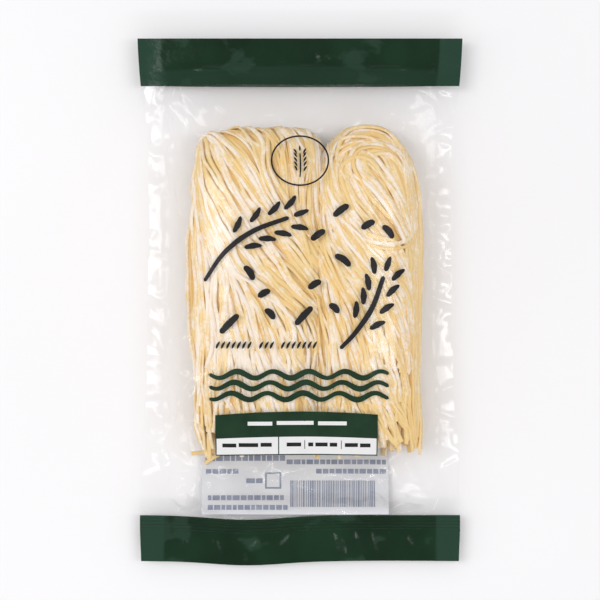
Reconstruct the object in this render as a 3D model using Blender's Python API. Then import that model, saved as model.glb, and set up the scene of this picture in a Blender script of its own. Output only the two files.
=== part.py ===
"""Sealed clear pouch of fresh pasta, lying on its back.

One closed solid of the pouch's outer form: a cushion over two hanks of thin pasta laid side by
side, flat seals down both sides, and a flat band across each end. +Z is up, +Y runs to the top
band, and the origin is under the middle of the pouch, on the surface that it lies on.
"""

import math

import bmesh
import bpy

MM = 0.001

# Driving dimensions.
LENGTH = 193.0 * MM  # over both end bands
TOP_WIDTH = 120.4 * MM  # across the top band's outer edge
WAIST_WIDTH = 111.6 * MM  # across the middle, where the filling draws the sides in
FOOT_WIDTH = 118.0 * MM  # across the bottom band
THICKNESS = 27.0 * MM  # from the table to the crest of the hanks
FILM = 0.6 * MM  # thickness of a seal, both films together

# Where the sides spread from the waist towards each band, as distances from the middle.
TOP_FLARE_START = 54.0 * MM
FOOT_FLARE_START = 8.0 * MM
FOOT_FLARE_END = 74.0 * MM

SIDE_SEAL = 8.4 * MM  # width of the seal down each side
TOP_SEAL = 11.0 * MM  # from the top edge down to where the films part
BOTTOM_SEAL = 12.0 * MM  # from the bottom edge up to where the films part

# Heights of the films' meeting line above the table.
SIDE_HEIGHT = 9.0 * MM
TOP_HEIGHT = 8.0 * MM
BOTTOM_HEIGHT = 4.6 * MM
SIDE_DROOP = 1.6 * MM  # how far the outer edge of a side seal hangs down
END_BLEND_START = 52.0 * MM  # the side heights turn into the band heights from here
END_BLEND_END = 84.0 * MM  # to here

# The filling.
TOP_SHOULDER = 38.0 * MM  # the crest runs level up to here
BOTTOM_SHOULDER = -24.0 * MM  # and down to here
VALLEY_X = 5.0 * MM  # the gap between the hanks
VALLEY_DEPTH = 1.1 * MM
VALLEY_WIDTH = 9.0 * MM

# How the films fall from the filling to the seals: a higher power keeps level for longer.
UPPER_SIDE_POWER = 6.0
UPPER_END_POWER = 1.8
LOWER_SIDE_POWER = 4.0
LOWER_END_POWER = 2.4
SIDE_SHARPNESS = 0.9
END_SHARPNESS = 1.1
LOWER_REACH = 1.45  # above 1, the lower film meets the table over that much more of the filling

# Slow waves of the loose film.
SEAL_WAVE = 0.45 * MM
SEAL_WAVE_X = 9.5 * MM  # length over which a wave turns by one radian, across the pouch
SEAL_WAVE_Y = 17.0 * MM  # and along it
SEAL_WAVE_PHASE_X = 1.1
SEAL_WAVE_PHASE_Y = 0.6
EDGE_DIP = 0.9 * MM  # sag of the bottom edge, seen from above
EDGE_DIP_X = -17.0 * MM
EDGE_DIP_WIDTH = 22.0 * MM

COLUMNS = 34
ROWS = 50
CREASE_ANGLE = math.radians(50.0)  # edges sharper than this stay crisp

FILM_COLOUR = (0.90, 0.87, 0.78, 1.0)
FILM_ROUGHNESS = 0.18


def smoothstep(value, low, high):
    """0 below low, 1 above high, and a smooth rise between them."""
    t = min(max((value - low) / (high - low), 0.0), 1.0)
    return t * t * (3.0 - 2.0 * t)


def mix(a, b, share):
    return a + (b - a) * share


def half_width(y):
    """Half of the pouch's width at y: drawn in at the waist and spread at the bands."""
    if y > 0.0:
        return mix(WAIST_WIDTH, TOP_WIDTH, smoothstep(y, TOP_FLARE_START, LENGTH / 2)) / 2
    return mix(WAIST_WIDTH, FOOT_WIDTH, smoothstep(-y, FOOT_FLARE_START, FOOT_FLARE_END)) / 2


def edge_dip(x):
    """How far the bottom edge sags beyond its straight line at x."""
    return EDGE_DIP * math.exp(-(((x - EDGE_DIP_X) / EDGE_DIP_WIDTH) ** 2))


def seal_height(x, y):
    """Height of the surface in which the two films meet."""
    end = mix(BOTTOM_HEIGHT, TOP_HEIGHT, smoothstep(y, -LENGTH / 2, LENGTH / 2))
    towards_end = smoothstep(abs(y), END_BLEND_START, END_BLEND_END)
    level = mix(SIDE_HEIGHT, end, towards_end)
    outside = smoothstep(abs(x), half_width(y) - SIDE_SEAL, half_width(y))
    droop = SIDE_DROOP * outside * (1.0 - towards_end)
    wave_x = math.sin(x / SEAL_WAVE_X + SEAL_WAVE_PHASE_X)
    wave_y = math.sin(y / SEAL_WAVE_Y + SEAL_WAVE_PHASE_Y)
    return level - droop + SEAL_WAVE * wave_x * wave_y


def fullness(x, y, side_power, end_power):
    """1 over the filling, falling to 0 at the seals around it."""
    across = abs(x) / (half_width(y) - SIDE_SEAL)
    if y > TOP_SHOULDER:
        along = (y - TOP_SHOULDER) / (LENGTH / 2 - TOP_SEAL - TOP_SHOULDER)
    else:
        along = (BOTTOM_SHOULDER - y) / (LENGTH / 2 - BOTTOM_SEAL + BOTTOM_SHOULDER)
    if across >= 1.0 or along >= 1.0:
        return 0.0
    side = 1.0 - across**side_power
    end = 1.0 - max(along, 0.0) ** end_power
    return side**SIDE_SHARPNESS * end**END_SHARPNESS


def top_height(x, y):
    """Height of the upper film."""
    base = seal_height(x, y)
    valley = VALLEY_DEPTH * math.exp(-(((x - VALLEY_X) / VALLEY_WIDTH) ** 2))
    rise = THICKNESS - base - valley
    full = fullness(x, y, UPPER_SIDE_POWER, UPPER_END_POWER)
    return base + FILM / 2 + (rise - FILM / 2) * full


def bottom_height(x, y):
    """Height of the lower film, which lies flat on the table under the filling."""
    base = seal_height(x, y) - FILM / 2
    full = fullness(x, y, LOWER_SIDE_POWER, LOWER_END_POWER)
    return base * (1.0 - min(1.0, LOWER_REACH * full))


def film_sheet(bm, height, upward):
    """A grid of the pouch's plan, raised to a height function, as new faces of bm."""
    made = bmesh.ops.create_grid(bm, x_segments=COLUMNS, y_segments=ROWS, size=1.0)
    for vert in made["verts"]:
        y = vert.co.y * LENGTH / 2
        x = vert.co.x * half_width(y)
        foot = smoothstep(-y, LENGTH / 2 - BOTTOM_SEAL, LENGTH / 2)
        vert.co = (x, y - edge_dip(x) * foot, height(x, y))
    faces = {face for vert in made["verts"] for face in vert.link_faces}
    if not upward:
        bmesh.ops.reverse_faces(bm, faces=list(faces))


def centre_over_origin(bm):
    """Moves the mesh so that its box is centred on the origin and stands on z = 0."""
    xs = [vert.co.x for vert in bm.verts]
    ys = [vert.co.y for vert in bm.verts]
    lowest = min(vert.co.z for vert in bm.verts)
    shift = (-(min(xs) + max(xs)) / 2, -(min(ys) + max(ys)) / 2, -lowest)
    bmesh.ops.translate(bm, verts=bm.verts, vec=shift)


def film_material():
    material = bpy.data.materials.new("clear_film")
    material.use_nodes = True
    shader = material.node_tree.nodes["Principled BSDF"]
    shader.inputs["Base Color"].default_value = FILM_COLOUR
    shader.inputs["Roughness"].default_value = FILM_ROUGHNESS
    shader.inputs["Metallic"].default_value = 0.0
    return material


def make_bag():
    """Upper and lower film as two sheets, joined round their rims into one closed solid."""
    bm = bmesh.new()
    film_sheet(bm, top_height, upward=True)
    film_sheet(bm, bottom_height, upward=False)
    rims = [edge for edge in bm.edges if edge.is_boundary]
    bmesh.ops.bridge_loops(bm, edges=rims)
    bmesh.ops.recalc_face_normals(bm, faces=bm.faces)
    centre_over_origin(bm)
    bmesh.ops.triangulate(bm, faces=bm.faces)
    mesh = bpy.data.meshes.new("bag")
    bm.to_mesh(mesh)
    bm.free()
    mesh.shade_smooth()
    mesh.set_sharp_from_angle(angle=CREASE_ANGLE)
    mesh.materials.append(film_material())
    bag = bpy.data.objects.new("bag", mesh)
    bpy.context.scene.collection.objects.link(bag)
    return bag


def main():
    for old in list(bpy.data.objects):
        bpy.data.objects.remove(old)
    make_bag()


main()
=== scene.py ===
"""Looks of a sealed clear pouch of fresh pasta, lying on its back.

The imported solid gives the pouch's outer form. It is replaced by a clear film with two printed
bands, two folded hanks of thin pasta, a few loose strands, and plain generic print. Lengths are in
metres, +Z is up, and +Y runs to the top band.
"""

import math
from functools import partial

import bpy
import numpy as np
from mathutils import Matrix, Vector
from mathutils.bvhtree import BVHTree

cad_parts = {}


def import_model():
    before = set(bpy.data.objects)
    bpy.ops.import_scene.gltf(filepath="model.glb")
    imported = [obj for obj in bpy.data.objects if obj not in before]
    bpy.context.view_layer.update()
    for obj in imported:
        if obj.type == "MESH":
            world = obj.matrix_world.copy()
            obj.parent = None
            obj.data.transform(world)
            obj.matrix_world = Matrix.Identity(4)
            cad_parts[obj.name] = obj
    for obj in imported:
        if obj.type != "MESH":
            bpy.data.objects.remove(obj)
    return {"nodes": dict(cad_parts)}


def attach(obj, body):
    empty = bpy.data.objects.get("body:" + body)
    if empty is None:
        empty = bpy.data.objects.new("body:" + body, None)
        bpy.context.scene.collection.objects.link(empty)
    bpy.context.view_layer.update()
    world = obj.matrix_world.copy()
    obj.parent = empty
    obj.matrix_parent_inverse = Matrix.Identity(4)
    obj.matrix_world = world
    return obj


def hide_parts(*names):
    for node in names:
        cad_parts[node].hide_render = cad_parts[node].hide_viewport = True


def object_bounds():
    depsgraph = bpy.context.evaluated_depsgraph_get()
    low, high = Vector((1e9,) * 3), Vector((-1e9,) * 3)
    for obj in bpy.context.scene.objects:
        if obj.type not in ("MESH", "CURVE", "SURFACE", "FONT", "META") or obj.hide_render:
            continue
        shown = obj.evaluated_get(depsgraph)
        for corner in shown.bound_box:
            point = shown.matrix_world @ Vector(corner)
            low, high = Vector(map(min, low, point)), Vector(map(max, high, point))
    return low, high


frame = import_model()
CAD_LOW, CAD_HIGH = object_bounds()

MM = 0.001

# The film.
FILM_COLUMNS = 180
FILM_ROW_STEP = 0.82 * MM
RIB_ROW_STEP = 0.22 * MM
BASE_COLUMNS = 121
BASE_ROWS = 195
BASE_SMOOTHING = 2.2 * MM
OUTLINE_INSET = 1.4 * MM  # the outline is read this far in from the bottom edge
HEIGHT_INSET = 1.3 * MM  # and the heights this far in from it
TOP_INSET = 0.3 * MM  # both are read this far in from the top edge
SIDE_INSET = 0.992  # and the heights out to this share of the half width
CAD_SEAL = 0.6 * MM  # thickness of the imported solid's seals
FILM_GAP = 0.16 * MM  # distance between the two films in a seal
SIDE_SEAL = 8.4 * MM
TOP_BAND_EDGE = 79.4 * MM  # the printed bands begin here, from the middle
BOTTOM_BAND_EDGE = -79.5 * MM
TOP_SEAL_FOOT = 86.2 * MM  # the top seal reaches down to here
PALE_UNDER_SEAL = 0.4
RIB_LOW = -85.2 * MM
RIB_HIGH = -79.9 * MM
RIB_PITCH = 1.2 * MM
RIB_HEIGHT = 0.2 * MM
BAND_DIP = 1.7 * MM  # the bottom band sags by this much, left of the middle
BAND_DIP_X = -20.0 * MM
BAND_DIP_WIDTH = 19.0 * MM
SQUEEZE_LENGTH = 9.0 * MM  # the films come together over this length above the ribs
CREASE_SCALE = 1.25  # how high the front's creases stand, as a share of their listed heights
FRONT_RIPPLE = 0.14 * MM
BACK_RIPPLE = 0.3 * MM
SEAL_RIPPLE = 0.22 * MM
EDGE_WAVER = 0.006  # how far the side edges waver, as a share of the half width
LOWEST = 0.12 * MM  # the back film comes no closer to the floor

# The pasta.
STRAND_WIDTH = 1.66 * MM
STRAND_THICKNESS = 0.92 * MM
STRAND_STEP = 2.5 * MM
CLEARANCE = 1.15 * MM  # from a strand's middle to the front film
BACK_CLEARANCE = 0.75 * MM  # and to the back film
HALF_DEPTH = 12.5 * MM  # of a hank, to turn a depth under its surface into a level
FIELD_SOFTNESS = 2.6 * MM
PACKING_CELL = 1.5 * MM  # strands are spread evenly over cells of this size
END_DIP = 0.9 * MM  # how far a strand's end tucks in between its neighbours
END_DIP_LENGTH = 5 * MM
CUT_END = -36 * MM  # strands that end below here are cut, and lie free
SECTION_POWER = 3.0  # roundness of a hank's section, from 2, an ellipse, up to a box

# The print.
INK_HEIGHT = 0.05 * MM  # how far the ink lies above the film's outer face
INK_THICKNESS = 0.05 * MM
PANEL_RISE = 0.12 * MM  # the back's white panel and its bars, above the back film
PANEL_THICKNESS = 0.06 * MM
TEXT_RISE = 0.15 * MM
TEXT_THICKNESS = 0.22 * MM  # the bars show on both sides of the panel

# The camera.
LENS = 100.0
SENSOR = 36.0
VIEW_WIDTH = 221.4 * MM  # what the picture shows across, at the bands' height
VIEW_HEIGHT = 8.0 * MM
VIEW_CENTRE_Y = 0.45 * MM


# ---------------------------------------------------------------- small helpers


def smoothstep(value, low, high):
    """0 below low, 1 above high, and a smooth rise between them."""
    t = np.clip((value - low) / (high - low), 0.0, 1.0)
    return t * t * (3.0 - 2.0 * t)


def unit(vectors):
    """The vectors, each scaled to length 1."""
    length = np.linalg.norm(vectors, axis=-1, keepdims=True)
    return vectors / np.maximum(length, 1e-12)


def smooth_curve(points, step):
    """A smooth curve through the points, sampled about every step."""
    points = np.asarray(points, float)
    padded = np.vstack([2 * points[0] - points[1], points, 2 * points[-1] - points[-2]])
    samples = []
    for a, b, c, d in zip(padded, padded[1:], padded[2:], padded[3:]):
        count = max(2, int(np.linalg.norm(c - b) / step))
        t = np.linspace(0.0, 1.0, count, endpoint=False)[:, None]
        samples.append(
            0.5 * (2 * b + (c - a) * t + (2 * a - 5 * b + 4 * c - d) * t**2
                   + (3 * b - a - 3 * c + d) * t**3)
        )
    samples.append(points[-1:])
    return np.vstack(samples)


class Shape:
    """Points, faces and point values of one piece, gathered from several parts."""

    def __init__(self):
        self.points = []
        self.faces = []
        self.values = {}
        self.count = 0

    def add(self, points, faces, **values):
        points = np.asarray(points, float).reshape(-1, 3)
        self.points.append(points)
        self.faces.extend((np.asarray(face) + self.count).tolist() for face in faces)
        for name, value in values.items():
            self.values.setdefault(name, []).append(value)
        self.count += len(points)

    def make(self, name, material, slot, sharp=None):
        """The gathered parts as one mesh object, riding on the pack."""
        mesh = bpy.data.meshes.new(name)
        faces = [face for group in self.faces for face in group]
        mesh.from_pydata(np.vstack(self.points).tolist(), [], faces)
        mesh.shade_smooth()
        if sharp is not None:
            mesh.set_sharp_from_angle(angle=math.radians(sharp))
        for key, arrays in self.values.items():
            array = np.concatenate(arrays)
            if array.ndim == 1:
                layer = mesh.attributes.new(key, "FLOAT", "POINT")
                layer.data.foreach_set("value", array.astype(np.float32))
            else:
                layer = mesh.attributes.new(key, "FLOAT_VECTOR", "POINT")
                layer.data.foreach_set("vector", array.astype(np.float32).ravel())
        mesh.materials.append(material)
        piece = bpy.data.objects.new(name, mesh)
        bpy.context.scene.collection.objects.link(piece)
        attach(piece, "root")
        return piece


def grid_faces(rows, columns, flip=False, start=0):
    """Quads over a grid of points stored row by row."""
    row, column = np.meshgrid(np.arange(rows - 1), np.arange(columns - 1), indexing="ij")
    corner = (row * columns + column).ravel() + start
    faces = np.stack([corner, corner + 1, corner + columns + 1, corner + columns], 1)
    return faces[:, ::-1] if flip else faces


def tube_faces(rows, sides):
    """Quads round a tube of points stored ring by ring."""
    ring = np.arange(sides)
    following = np.roll(ring, -1)
    start = (np.arange(rows - 1) * sides)[:, None]
    return np.stack([start + ring, start + following, start + sides + following,
                     start + sides + ring], -1).reshape(-1, 4)


# ---------------------------------------------------------------- the film's form


def packed_surface():
    """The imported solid's surface, for casting rays on."""
    mesh = frame["nodes"]["bag"].data
    points = [vert.co.copy() for vert in mesh.vertices]
    return BVHTree.FromPolygons(points, [tuple(face.vertices) for face in mesh.polygons])


def hits(surface, x, y):
    return surface.ray_cast((x, y, 1.0), (0.0, 0.0, -1.0))[0] is not None


def reach(surface, x, y, step_x, step_y):
    """How many steps the solid reaches from x, y in plan, found by halving."""
    near, far = 0.0, 1.0
    for _ in range(14):
        middle = (near + far) / 2
        if hits(surface, x + step_x * middle, y + step_y * middle):
            near = middle
        else:
            far = middle
    return near


def smoothed(grid, spacing):
    """The grid of heights with its facets smoothed away."""
    for axis in (0, 1):
        sigma = BASE_SMOOTHING / spacing[axis]
        radius = int(3 * sigma)
        weights = np.exp(-0.5 * (np.arange(-radius, radius + 1) / sigma) ** 2)
        weights /= weights.sum()
        pad = [(radius, radius) if k == axis else (0, 0) for k in (0, 1)]
        wide = np.pad(grid, pad, mode="edge")
        grid = np.apply_along_axis(np.convolve, axis, wide, weights, "valid")
    return grid


class PouchForm:
    """Outline and film heights of the pouch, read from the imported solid."""

    def __init__(self):
        surface = packed_surface()
        self.low, self.high = CAD_LOW.y, CAD_HIGH.y
        self.rows = np.linspace(self.low, self.high, BASE_ROWS)
        inside = np.clip(self.rows, self.low + OUTLINE_INSET, self.high - TOP_INSET)
        span = CAD_HIGH.x * 1.02
        self.half = np.array([span * reach(surface, 0.0, y, span, 0.0) for y in inside])
        self.read_heights(surface)

    def read_heights(self, surface):
        across = np.linspace(-1.0, 1.0, BASE_COLUMNS)
        top = np.zeros((BASE_ROWS, BASE_COLUMNS))
        bottom = np.zeros_like(top)
        for i, y in enumerate(self.rows):
            inner_y = min(max(y, self.low + HEIGHT_INSET), self.high - TOP_INSET)
            for j, u in enumerate(across):
                x = u * self.half[i] * SIDE_INSET
                down = surface.ray_cast((x, inner_y, 1.0), (0.0, 0.0, -1.0))[0]
                up = surface.ray_cast((x, inner_y, -1.0), (0.0, 0.0, 1.0))[0]
                top[i, j] = down.z if down else CAD_SEAL
                bottom[i, j] = up.z if up else 0.0
        spacing = (self.rows[1] - self.rows[0], 2 * self.half.mean() / (BASE_COLUMNS - 1))
        top = smoothed(top, spacing)
        bottom = smoothed(bottom, spacing)
        squeeze = smoothstep(self.rows, RIB_HIGH, RIB_HIGH + SQUEEZE_LENGTH)[:, None]
        middle = (top + bottom) / 2
        gap = np.maximum(top - bottom - CAD_SEAL, 0.0) * squeeze + FILM_GAP
        self.top = middle + gap / 2
        self.bottom = middle - gap / 2

    def half_width(self, y):
        return np.interp(y, self.rows, self.half)

    def sagged(self, x, y):
        """y, moved so that the bottom band sags as a whole, left of the middle."""
        share = 1.0 - smoothstep(y, BOTTOM_BAND_EDGE, BOTTOM_BAND_EDGE + 14 * MM)
        dip = np.exp(-(((x - BAND_DIP_X) / BAND_DIP_WIDTH) ** 2))
        return y + share * (0.6 * MM - BAND_DIP * dip)

    def height(self, grid, x, y):
        """Height at x, y, read between the grid's points."""
        row = np.clip((y - self.low) / (self.high - self.low), 0, 1) * (BASE_ROWS - 1)
        across = np.clip(x / self.half_width(y), -1, 1)
        column = (across + 1) / 2 * (BASE_COLUMNS - 1)
        i = np.minimum(row.astype(int), BASE_ROWS - 2)
        j = np.minimum(column.astype(int), BASE_COLUMNS - 2)
        a, b = row - i, column - j
        low = grid[i, j] * (1 - b) + grid[i, j + 1] * b
        high = grid[i + 1, j] * (1 - b) + grid[i + 1, j + 1] * b
        return low * (1 - a) + high * a


# Creases of the loose film: x and y of both ends, height and half breadth, in millimetres. A
# negative height is a fold that goes in.
FRONT_CREASES = [
    # From the top band's corners down to the hanks.
    (-43, 76, -37, 60, 0.9, 1.5), (-47, 79, -30, 67, 0.7, 1.2), (-35, 79, -24, 66, 0.6, 1.6),
    (-50, 72, -38, 66, -0.8, 1.3), (-18, 79, -15, 65, 0.4, 1.8), (-2, 79, 0, 64, -0.4, 2.0),
    (47, 79, 36, 61, 1.0, 1.3), (50, 74, 40, 58, 0.8, 1.3), (38, 79, 30, 64, 0.6, 1.5),
    (44, 72, 57, 71, -0.8, 1.0), (44, 69, 56, 68, 0.6, 0.9), (14, 79, 18, 66, 0.4, 1.8),
    # Down the left side, between the seal and the hanks.
    (-46, 70, -46, 52, 0.7, 1.1), (-47, 50, -43, 34, 0.6, 1.2), (-47, 20, -42, 6, 0.7, 1.1),
    (-48, 2, -43, -12, 0.8, 1.2), (-43, -2, -48, -18, -0.6, 1.2), (-48, -20, -42, -34, 0.8, 1.3),
    (-42, -30, -47, -47, 0.7, 1.2), (-48, -38, -41, -52, 0.7, 1.1), (-50, -60, -38, -44, 0.9, 1.4),
    # The bottom left corner, where the film is crumpled.
    (-47, -61, -34, -62, 0.9, 1.2), (-45, -66, -36, -73, 1.0, 1.3), (-38, -63, -41, -78, 0.8, 1.2),
    (-48, -72, -40, -78, 0.7, 1.1), (-33, -66, -34, -78, 0.6, 1.2), (-44, -58, -47, -76, -0.8, 1.4),
    (-52, -70, -44, -62, 0.6, 1.1), (-30, -70, -24, -79, 0.5, 1.3),
    # Down the right side.
    (47, 62, 46, 44, 0.8, 1.0), (48, 46, 46.5, 18, 0.7, 0.9), (46.5, 20, 47, -14, 0.7, 0.9),
    (47, -10, 46, -40, 0.7, 1.0), (45, 58, 51, 50, 0.7, 1.1), (50, -32, 46, -48, 0.6, 1.0),
    # The bottom right corner, pulled from the seal to the hank.
    (36, -58, 52, -72, 0.9, 1.2), (44, -46, 50, -70, 0.8, 1.1), (33, -62, 46, -78, 0.7, 1.3),
    (27, -62, 34, -78, 0.6, 1.4), (48, -50, 53, -62, -0.6, 1.0), (40, -66, 54, -66, 0.6, 1.2),
    # Between the hanks' cut ends and the bottom band.
    (-14, -64, -18, -79, 0.4, 1.6), (4, -63, 6, -79, -0.4, 1.8), (16, -62, 20, -79, 0.4, 1.6),
]
SEAL_CREASES = [
    (-60, 20, -46, 16, 0.5, 1.4), (-57, 4, -46, -3, 0.6, 1.2), (-57, -6, -47, -16, -0.5, 1.3),
    (-58, -22, -47, -28, 0.6, 1.2), (-58, -36, -46, -32, 0.5, 1.2), (-60, -48, -47, -55, 0.6, 1.4),
    (-60, -66, -48, -61, 0.6, 1.2), (-57, 44, -47, 40, 0.4, 1.3), (-59, 68, -48, 73, 0.5, 1.3),
    (60, 66, 48, 62, 0.6, 1.1), (58, 57, 47, 60, 0.5, 1.2), (57, 30, 48, 26, 0.4, 1.4),
    (58, -2, 48, 2, 0.4, 1.4), (58, -30, 48, -36, 0.5, 1.2), (60, -44, 48, -40, 0.5, 1.4),
    (60, -58, 49, -64, 0.6, 1.3), (60, 74, 50, 79, 0.4, 1.3),
]
BAND_CREASES = [
    # The bulge under the top seal, and the puckers in the tail under the bottom seal.
    (-46, 85.4, -8, 87.4, 1.0, 0.7), (-10, 87.4, 20, 86.4, 0.9, 0.7), (18, 86.4, 47, 85.6, 1.0, 0.7),
    (-40, 82.0, 44, 82.4, 0.7, 2.2), (6, 91.0, 12, 90.0, 0.35, 1.5), (40, 85.5, 47, 82.0, 0.4, 0.7),
    (12, -86, 14, -96, 0.5, 0.9), (16, -86, 18, -94, -0.4, 0.8), (20, -86, 21, -94, 0.5, 0.9),
    (26, -86, 28, -96, 0.5, 0.9), (-2, -86, -8, -92, 0.4, 1.5), (-32, -87, -30, -95, 0.4, 1.5),
    (-12, -87, -20, -92, 0.35, 1.6), (38, -87, 42, -93, 0.35, 1.4), (-42, -88, -44, -94, 0.35, 1.4),
]


# Where the loose film stands up in a small pillow: x, y, half length along x and y, height.
BULGES = [
    (-42.5, -69, 6.0, 8.0, 3.4), (-33.0, -76, 3.5, 4.0, 2.1), (43.0, -69, 5.0, 9.0, 2.2),
    (34.0, -72, 4.0, 6.0, 1.0), (45.5, 66, 4.5, 8.0, 1.8), (-45.0, 67, 5.0, 7.0, 1.8),
    (-46.0, 34, 2.5, 14.0, 0.9), (-45.5, -26, 2.5, 12.0, 0.9), (-24.0, 72, 9.0, 4.0, 0.9),
    (6.0, 71.5, 10.0, 4.0, 0.8), (30.0, 70, 8.0, 5.0, 0.9), (49.0, 62, 2.2, 2.2, 0.7),
]


def bulge(x, y):
    """Height that the small pillows add at x, y."""
    total = np.zeros(np.broadcast(x, y).shape)
    for at_x, at_y, half_x, half_y, height in BULGES:
        far = ((x / MM - at_x) / half_x) ** 2 + ((y / MM - at_y) / half_y) ** 2
        total += height * MM * np.exp(-(far**1.5))
    return total


def small_creases():
    """Short creases in the loose film round the hanks."""
    random = np.random.default_rng(17)
    made = []
    while len(made) < 110:
        x, y = random.uniform(-52, 52), random.uniform(-79, 79)
        over_hanks = abs(x - 2) < 43 and -58 < y < 62
        if over_hanks and random.uniform() < 0.93:
            continue
        turn = random.normal(0.0, 0.7) + (0.5 if x * y > 0 else -0.5)
        run = random.uniform(3, 9)
        end_x, end_y = x + run * math.sin(turn), y + run * math.cos(turn)
        height = random.choice([-1, 1]) * random.uniform(0.2, 0.5)
        made.append((x, y, end_x, end_y, height, random.uniform(0.8, 1.4)))
    return made


def relief(creases, x, y):
    """Height that a list of creases adds at x, y."""
    total = np.zeros(np.broadcast(x, y).shape)
    for x0, y0, x1, y1, height, breadth in creases:
        start = np.array([x0, y0]) * MM
        run = np.array([x1, y1]) * MM - start
        along = ((x - start[0]) * run[0] + (y - start[1]) * run[1]) / (run @ run)
        off = np.hypot(x - start[0] - along * run[0], y - start[1] - along * run[1])
        taper = smoothstep(along, -0.12, 0.35) * (1.0 - smoothstep(along, 0.65, 1.12))
        ridge = np.exp(-((off / (breadth * MM)) ** 1.6))
        total += height * MM * taper * ridge
    return total


SMALL_CREASES = small_creases()


def cushion_share(form, x, y):
    """1 over the filled part of the pouch, and 0 in its seals."""
    inner = form.half_width(y) - SIDE_SEAL
    side = 1.0 - smoothstep(np.abs(x), inner - 3.5 * MM, inner + 0.6 * MM)
    return side * smoothstep(y, RIB_HIGH, RIB_HIGH + 5 * MM) * (1.0 - smoothstep(y, 83 * MM, 86 * MM))


def ripple(x, y, length, turn):
    """A slow uneven wave, from -1 to 1."""
    a = np.sin(x / length + 1.3 * turn) * np.sin(y / (1.31 * length) + turn)
    b = np.sin((x + y) / (0.73 * length) + 2.1 * turn) * np.sin((x - y) / (0.91 * length))
    return 0.6 * a + 0.4 * b


def seal_relief(form, x, y):
    """What both films share: creases across the seals, ribs, and slow waves."""
    outside = smoothstep(np.abs(x), form.half_width(y) - SIDE_SEAL - 1 * MM,
                         form.half_width(y) - SIDE_SEAL + 2 * MM)
    ribs = smoothstep(y, RIB_LOW, RIB_LOW + 0.6 * MM)
    ribs = ribs * (1.0 - smoothstep(y, RIB_HIGH - 0.6 * MM, RIB_HIGH))
    total = relief(SEAL_CREASES, x, y) * outside
    total += relief(BAND_CREASES, x, y)
    total += ribs * RIB_HEIGHT * np.sin(2 * math.pi * (y - RIB_LOW) / RIB_PITCH)
    return total + outside * SEAL_RIPPLE * ripple(x, y, 4.3 * MM, 0.8)


def front_height(form, x, y):
    """Height of the front film, creases and all."""
    loose = cushion_share(form, x, y)
    total = form.height(form.top, x, y) + seal_relief(form, x, y)
    total += loose * CREASE_SCALE * relief(FRONT_CREASES + SMALL_CREASES, x, y)
    return total + loose * (bulge(x, y) + FRONT_RIPPLE * ripple(x, y, 5.7 * MM, 0.3))


def back_height(form, x, y):
    """Height of the back film, never under the surface that the pack lies on."""
    loose = cushion_share(form, x, y)
    total = form.height(form.bottom, x, y) + seal_relief(form, x, y)
    total += loose * BACK_RIPPLE * np.maximum(ripple(x, y, 6.1 * MM, 1.7), 0.0)
    total = np.minimum(total, front_height(form, x, y) - FILM_GAP)
    return np.maximum(total, LOWEST)


# ---------------------------------------------------------------- the film's pieces


def film_rows(form):
    """Places of the film's rows: even, and close together over the ribs of the bottom seal."""
    stops = [(form.low, RIB_LOW, FILM_ROW_STEP), (RIB_LOW, RIB_HIGH, RIB_ROW_STEP),
             (RIB_HIGH, TOP_BAND_EDGE, FILM_ROW_STEP), (TOP_BAND_EDGE, form.high, FILM_ROW_STEP)]
    rows = [form.low]
    for start, end, step in stops:
        count = max(1, round((end - start) / step))
        rows.extend(np.linspace(start, end, count + 1)[1:])
    return np.array(rows)


def film_loops(form, rows):
    """Points round the pouch at each row: over the front, and back under it."""
    across = np.linspace(-1.0, 1.0, FILM_COLUMNS + 1)
    edge = 1.0 + EDGE_WAVER * np.sin(rows / (7.1 * MM) + 0.7) * np.sin(rows / (17.3 * MM))
    y = np.repeat(rows[:, None], len(across), 1)
    x = across[None, :] * (form.half_width(rows) * edge)[:, None]
    flat_y = form.sagged(x, y)
    front = np.stack([x, flat_y, front_height(form, x, y)], -1)
    back = np.stack([x, flat_y, back_height(form, x, y)], -1)
    return np.concatenate([front, back[:, ::-1]], 1)


def tube_piece(loops, closed_low, closed_high):
    """A stretch of the pouch as a tube, shut at the ends that are asked for."""
    rows, round_count = loops.shape[:2]
    groups = [tube_faces(rows, round_count)]
    half = round_count // 2
    front = np.arange(half - 1)
    back = round_count - 1 - front
    cap = np.stack([front, front + 1, back - 1, back], 1)
    if closed_high:
        groups.append(cap + (rows - 1) * round_count)
    if closed_low:
        groups.append(cap[:, ::-1])
    return loops.reshape(-1, 3), groups


def seal_values(form, loops):
    """How pale the print is at each point: most in a side seal, and some under the top seal."""
    x, y = loops[..., 0], loops[..., 1]
    half = form.half_width(y)
    side = smoothstep(np.abs(x), half - SIDE_SEAL - 0.5 * MM, half - SIDE_SEAL + 0.3 * MM)
    edge = TOP_SEAL_FOOT + 0.8 * MM * np.cos(x / (15 * MM))
    under = PALE_UNDER_SEAL * (1.0 - smoothstep(y, edge - 0.6 * MM, edge + 0.2 * MM)) * (y > 0)
    return np.maximum(side, under).ravel()


def crumple_values(loops):
    """How crumpled the film is at each point: little over the hanks, and most at the corners."""
    x, y = loops[..., 0] / MM, loops[..., 1] / MM
    beside = smoothstep(np.abs(x - 2), 40, 46)
    above = smoothstep(y, 56, 66)
    below = 1.0 - smoothstep(y, -66, -54)
    return (0.04 + 0.96 * np.maximum(beside, np.maximum(above, below))).ravel()


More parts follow.
